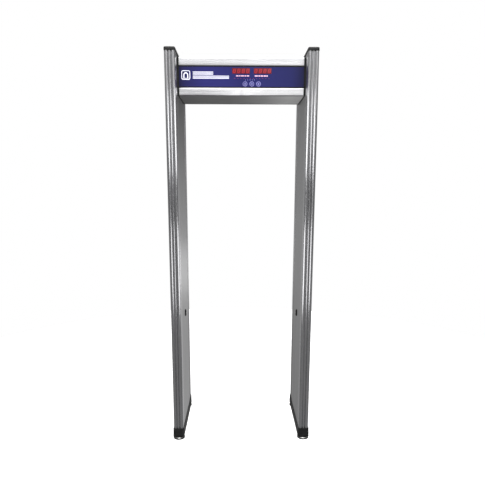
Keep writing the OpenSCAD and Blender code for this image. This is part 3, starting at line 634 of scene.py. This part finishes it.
def digit_bars():
    """The seven bars of a figure 8 about its middle: three lie flat and four stand, each with pointed
    ends, a little short of the corners they would meet in."""
    tall, wide, thick, short = 21.0, 12.0, 2.9, 0.9
    h, w, t = tall / 2 - thick / 2, wide / 2, thick / 2
    e, f = w - short, h / 2 - short  # half the length of a flat bar and of a standing one
    flat = np.array([[-e, 0], [-e + t, -t], [e - t, -t], [e, 0], [e - t, t], [-e + t, t]])
    standing = np.array([[0, -f - t / 2], [t, -f + t / 2], [t, f - t / 2], [0, f + t / 2], [-t, f - t / 2],
                         [-t, -f + t / 2]])
    lying = [flat + [0, z] for z in (-h, 0, h)]
    return lying + [standing + [x, z] for x in (-w, w) for z in (-h / 2, h / 2)]


def make_digits(front):
    """Four lit figures in each pane, leaning 8 degrees: x is moved by z tan 8."""
    low, high = box_mm("display_windows")
    middle_z, lean, per_pane = (low[2] + high[2]) / 2, math.tan(math.radians(8)), 4
    depths = front - 0.25, front + 0.4
    solids = []
    for pane_x in (low[0], high[0] - PANE_WIDTH):
        for place in range(per_pane):
            x = pane_x + PANE_WIDTH * (place + 0.5) / per_pane
            for bar in digit_bars():
                corners = np.column_stack([x + bar[:, 0] + lean * bar[:, 1], middle_z + bar[:, 1]])
                solids.append(prism(corners, *depths))
    make_piece("display_digits", *merge(*solids), digit_red, GATE, "display_red")


def make_windows():
    """Two filter panes with rounded corners and eased edges. Gives back the place of their front."""
    low, high = box_mm("display_windows")
    solids = [tile(x, x + PANE_WIDTH, low[2], high[2], low[1], high[1], radius=1.5, ease=0.5)
              for x in (low[0], high[0] - PANE_WIDTH)]
    make_piece("filter_panes", *merge(*solids), window_red, GATE, "window_red", ("display_windows",))
    return low[1]


def arch_mark(x, z, face):
    """An arch that stands on a line, in a rounded frame, about (x, z)."""
    out, within = 24, 20.5  # half sizes of the frame
    border = hollow(outline(x - out, x + out, z - out, z + out, 9),
                    outline(x - within, x + within, z - within, z + within, 6), *face)
    outer, inner, spring, foot = 13, 8, z + 1, z - 14  # radii of the arch, heights of its middle and feet
    arch = np.concatenate([
        arc(x, spring, outer, 0, 180, 24), [[x - outer, foot], [x - inner, foot]],
        arc(x, spring, inner, 180, 0, 24), [[x + inner, foot], [x + outer, foot]]])
    ground = tile(x - 16, x + 16, z - 17.5, z - 15.2, *face)
    return border, prism(arch, *face), ground


def caption_dashes(face):
    """Five dashes of differing lengths under each pane; the second row starts two lengths further on."""
    low, high = box_mm("display_windows")
    lengths, gap = (13, 7, 17, 10, 12), 3
    bottom, top = low[2] - 13.5, low[2] - 8
    dashes = []
    for x, shift in ((low[0] + 22, 0), (high[0] - 92, 2)):
        for n in range(5):
            size = lengths[(n + shift) % 5]
            dashes.append(tile(x, x + size, bottom, top, *face))
            x += size + gap
    return dashes


def make_prints():
    """Ink on the fascia: the arch mark and two groups of three lines at the left, a ring round each key,
    and dashes under the panes."""
    low, high = box_mm("fascia_panel")
    face = (low[1] - 0.2, low[1] + 0.3)
    x, z = low[0] + 40, (low[2] + high[2]) / 2 + 8  # middle of the arch mark
    start, pitch, thick = x + 38, 6, 3
    lines = [tile(start, x + end, z + foot + pitch * n, z + foot + pitch * n + thick, *face, radius=1.4)
             for end, foot in ((150, 3), (236, -18)) for n in range(3)]
    make_piece("arch_mark", *merge(*arch_mark(x, z, face), *lines), ink_white, GATE, "fascia_blue")
    rings = []
    for node in BUTTONS:
        key_low, key_high = box_mm(node)
        middle = (key_low[0] + key_high[0]) / 2, (key_low[2] + key_high[2]) / 2
        rings.append(hollow(circle(*middle, 12.6), circle(*middle, 10.6), *face))
    make_piece("key_rings", *merge(*rings), ink_lilac, GATE, "fascia_blue")
    make_piece("caption_dashes", *merge(*caption_dashes(face)), ink_pink, GATE, "fascia_blue")


def make_button(node, icon):
    """Round key turned round Y: a flat rim and a shallow dished face with a raised icon, and behind the
    fascia its flange and stem. Its profile is (radius, depth behind its front)."""
    low, high = box_mm(node)
    x, z, front = (low[0] + high[0]) / 2, (low[2] + high[2]) / 2, low[1]
    r, flange_r, stem_r, edge, axle = 9.0, 11, 2.5, 0.8, 0.05
    proud, fascia_thick, gap, overlap, flange_thick = 1.5, 3, 0.4, 0.1, 1.5
    flange = proud + fascia_thick + gap - overlap
    stem_end = high[1] - front
    profile = np.concatenate([
        [[axle, 0.9], [5, 0.75], [6.6, 0.35], [7.3, 0.05]],                    # dished face
        arc(r - edge, edge, edge, 270, 360, 5), [[r, flange]],                 # rounded edge and side
        [[flange_r, flange], [flange_r, flange + flange_thick], [stem_r, flange + flange_thick]],
        [[stem_r, stem_end], [axle, stem_end]]])
    make_piece(node + "_key", *turned(profile, (x, front, z), "y", 48), button_blue, node,
               "button_lilac", (node,))
    make_piece(node + "_icon", *icon(x, z, front + 0.35, front + 1.2), ink_lilac, node, "button_lilac")


def ring_icon(x, z, front, back):
    """A ring about (x, z)."""
    return hollow(circle(x, z, 4.4), circle(x, z, 3.0), front, back)


def arrow_icon(x, z, front, back, way):
    """An arrow about (x, z) that points up for way 1 and down for way -1."""
    half, shaft = 4.4, 1.6  # half widths of the head and of the shaft
    head_base, tail = -1, -4.2  # heights about the middle, where the tip is at half
    corners = [[0, half], [-half, head_base], [-shaft, head_base], [-shaft, tail], [shaft, tail],
               [shaft, head_base], [half, head_base]]
    return prism(np.array(corners) * [1, way] + [x, z], front, back)


def up_icon(x, z, front, back):
    """An arrow that points up."""
    return arrow_icon(x, z, front, back, 1)


def down_icon(x, z, front, back):
    """An arrow that points down."""
    return arrow_icon(x, z, front, back, -1)


for part in ("left_front", "right_front", "left_rear", "right_rear"):
    make_column(part + "_column")
    make_boot(part + "_boot")
    make_foot(part + "_foot")
lens_domes = []
for side in ("left", "right"):
    make_cap(side + "_top_cap")
    make_base_rail(side + "_base_rail")
    lens_domes += make_bezel(side + "_sensor_bezel")
make_piece("lens_domes", *merge(*lens_domes), lens_plastic, GATE, "infrared_lens", ("sensor_lenses",))
make_rail("upper_front_rail")
make_rail("lower_front_rail")
make_end_trims()
make_digits(make_windows())
make_prints()
for node, icon in zip(BUTTONS, (down_icon, ring_icon, up_icon)):
    make_button(node, icon)


# ---------------------------------------------------------------- stage, camera, light

def make_floor():
    """A plain pale disc under the gate that glows enough to stay pale and isn't seen in reflections."""
    bpy.ops.mesh.primitive_circle_add(vertices=128, radius=3.0, fill_type="NGON", location=(0, 0, 0))
    floor = bpy.context.object
    floor.name = "floor"
    material, tree = new_material("pale_studio_floor")
    grey = add(tree, "ShaderNodeValToRGB", links={"Fac": pattern(tree, (900, 900, 900))},
               stops=shades((0.35, "#F4F4F4"), (0.65, "#F8F8F8")))
    finish(tree, {"Roughness": 0.8, "Emission Strength": 0.7, "Emission Color": (1, 1, 1, 1)},
           {"Base Color": grey.outputs["Color"]})
    floor.data.materials.append(material)
    floor.visible_glossy = False


def make_camera():
    """In front of the gate at head height, looking slightly down; the small shift frames the gate."""
    data = bpy.data.cameras.new("camera")
    data.lens = 36.0
    data.sensor_width = 36.0
    data.shift_y = 0.080
    camera = bpy.data.objects.new("camera", data)
    bpy.context.scene.collection.objects.link(camera)
    down, right, roll = math.radians(11.035), math.radians(0.562), math.radians(0.115)
    turn = (Matrix.Rotation(-right, 4, "Z") @ Matrix.Rotation(math.pi / 2 - down, 4, "X")
            @ Matrix.Rotation(roll, 4, "Z"))
    camera.matrix_world = Matrix.Translation((-0.020, -2.969, 1.511)) @ turn
    bpy.context.scene.camera = camera


def make_world():
    """White for what the camera sees directly; a graded grey studio for light and reflections. Its greys
    go by how high a direction points, from straight down (0) over level (0.5) to straight up (1). In front
    it is light above head height; behind, it is light low down, and more so on the right."""
    world = bpy.data.worlds.new("studio")
    bpy.context.scene.world = world
    world.use_nodes = True
    tree = world.node_tree
    tree.nodes.clear()
    place = add(tree, "ShaderNodeTexCoord")
    axes = add(tree, "ShaderNodeSeparateXYZ", links={"Vector": place.outputs["Generated"]}).outputs
    height = add(tree, "ShaderNodeMapRange", {"From Min": -1.0, "From Max": 1.0}, {"Value": axes["Z"]})
    front, rear_left, rear_right = [
        add(tree, "ShaderNodeValToRGB", links={"Fac": height.outputs["Result"]}, stops=greys)
        for greys in (
            shades((0.0, "#8E8E8E"), (0.25, "#929292"), (0.38, "#8A8A8A"), (0.47, "#7A7A7A"),
                   (0.55, "#828282"), (0.585, "#A4A4A4"), (0.61, "#C6C6C6"), (0.66, "#CECECE"),
                   (0.78, "#929292"), (0.9, "#F4F4F4"), (1.0, "#FFFFFF")),
            shades((0.0, "#8A8A8A"), (0.25, "#9C9C9C"), (0.36, "#A2A2A2"), (0.42, "#B0B0B0"),
                   (0.46, "#AEAEAE"), (0.5, "#A2A2A2"), (0.545, "#949494"), (1.0, "#808080")),
            shades((0.0, "#A0A0A0"), (0.25, "#C8C8C8"), (0.38, "#C2C2C2"), (0.46, "#B4B4B4"),
                   (0.5, "#A8A8A8"), (0.53, "#868686"), (0.56, "#686868"), (1.0, "#808080")))]
    right = add(tree, "ShaderNodeMapRange", {"From Min": -0.06, "From Max": 0.08}, {"Value": axes["X"]})
    rear = add(tree, "ShaderNodeMix", data_type="RGBA", links={
        "Factor": right.outputs["Result"],
        "A": rear_left.outputs["Color"],
        "B": rear_right.outputs["Color"]})
    behind = add(tree, "ShaderNodeMapRange", {"From Min": -0.2, "From Max": 0.6}, {"Value": axes["Y"]})
    blend = add(tree, "ShaderNodeMix", data_type="RGBA", links={
        "Factor": behind.outputs["Result"],
        "A": front.outputs["Color"],
        "B": rear.outputs["Result"]})
    room = add(tree, "ShaderNodeBackground", {"Strength": 1.0}, {"Color": blend.outputs["Result"]})
    white = add(tree, "ShaderNodeBackground", {"Strength": 1.0, "Color": (1, 1, 1, 1)})
    ray = add(tree, "ShaderNodeLightPath")
    seen = add(tree, "ShaderNodeMixShader", links={
        "Fac": ray.outputs["Is Camera Ray"], 1: room.outputs["Background"], 2: white.outputs["Background"]})
    add(tree, "ShaderNodeOutputWorld", links={"Surface": seen.outputs["Shader"]})


def softbox(name, at, aim, width, height, power):
    """A rectangular soft light at a place, aimed at a point."""
    data = bpy.data.lights.new(name, "AREA")
    data.shape = "RECTANGLE"
    data.size = width
    data.size_y = height
    data.energy = power
    lamp = bpy.data.objects.new(name, data)
    bpy.context.scene.collection.objects.link(lamp)
    lamp.location = at
    lamp.rotation_euler = (Vector(aim) - Vector(at)).to_track_quat("-Z", "Y").to_euler()
    lamp.visible_camera = False


def make_cards(y):
    """Four cards on the passage's middle line at y: an upper and a lower one towards each panel. They show
    as two bright fields, one above the other, in the panel's inner skin."""
    for side in (-1, 1):
        for name, height, tall, power in (("upper", 1.84, 0.50, 4.6), ("lower", 0.98, 0.56, 4.2)):
            softbox(f"{name}_card_{side}", (0.0, y, height), (side, y, height), 1.25, tall, power)


make_floor()
make_camera()
make_world()
bpy.context.scene.view_settings.view_transform = "Standard"
make_cards(-0.85)
softbox("front_key", at=(1.3, -5.0, 3.2), aim=(0.3, 0, 2.1), width=2.2, height=1.2, power=7)
softbox("high_front", at=(0, -2.2, 4.6), aim=(0, 0, 1.0), width=3.0, height=2.0, power=215)
softbox("high_back", at=(0, 2.8, 4.4), aim=(0, 0, 1.2), width=3.0, height=1.6, power=110)
softbox("low_back_card", at=(1.1, 3.2, 0.45), aim=(0, 0, 0.9), width=1.6, height=0.6, power=3)
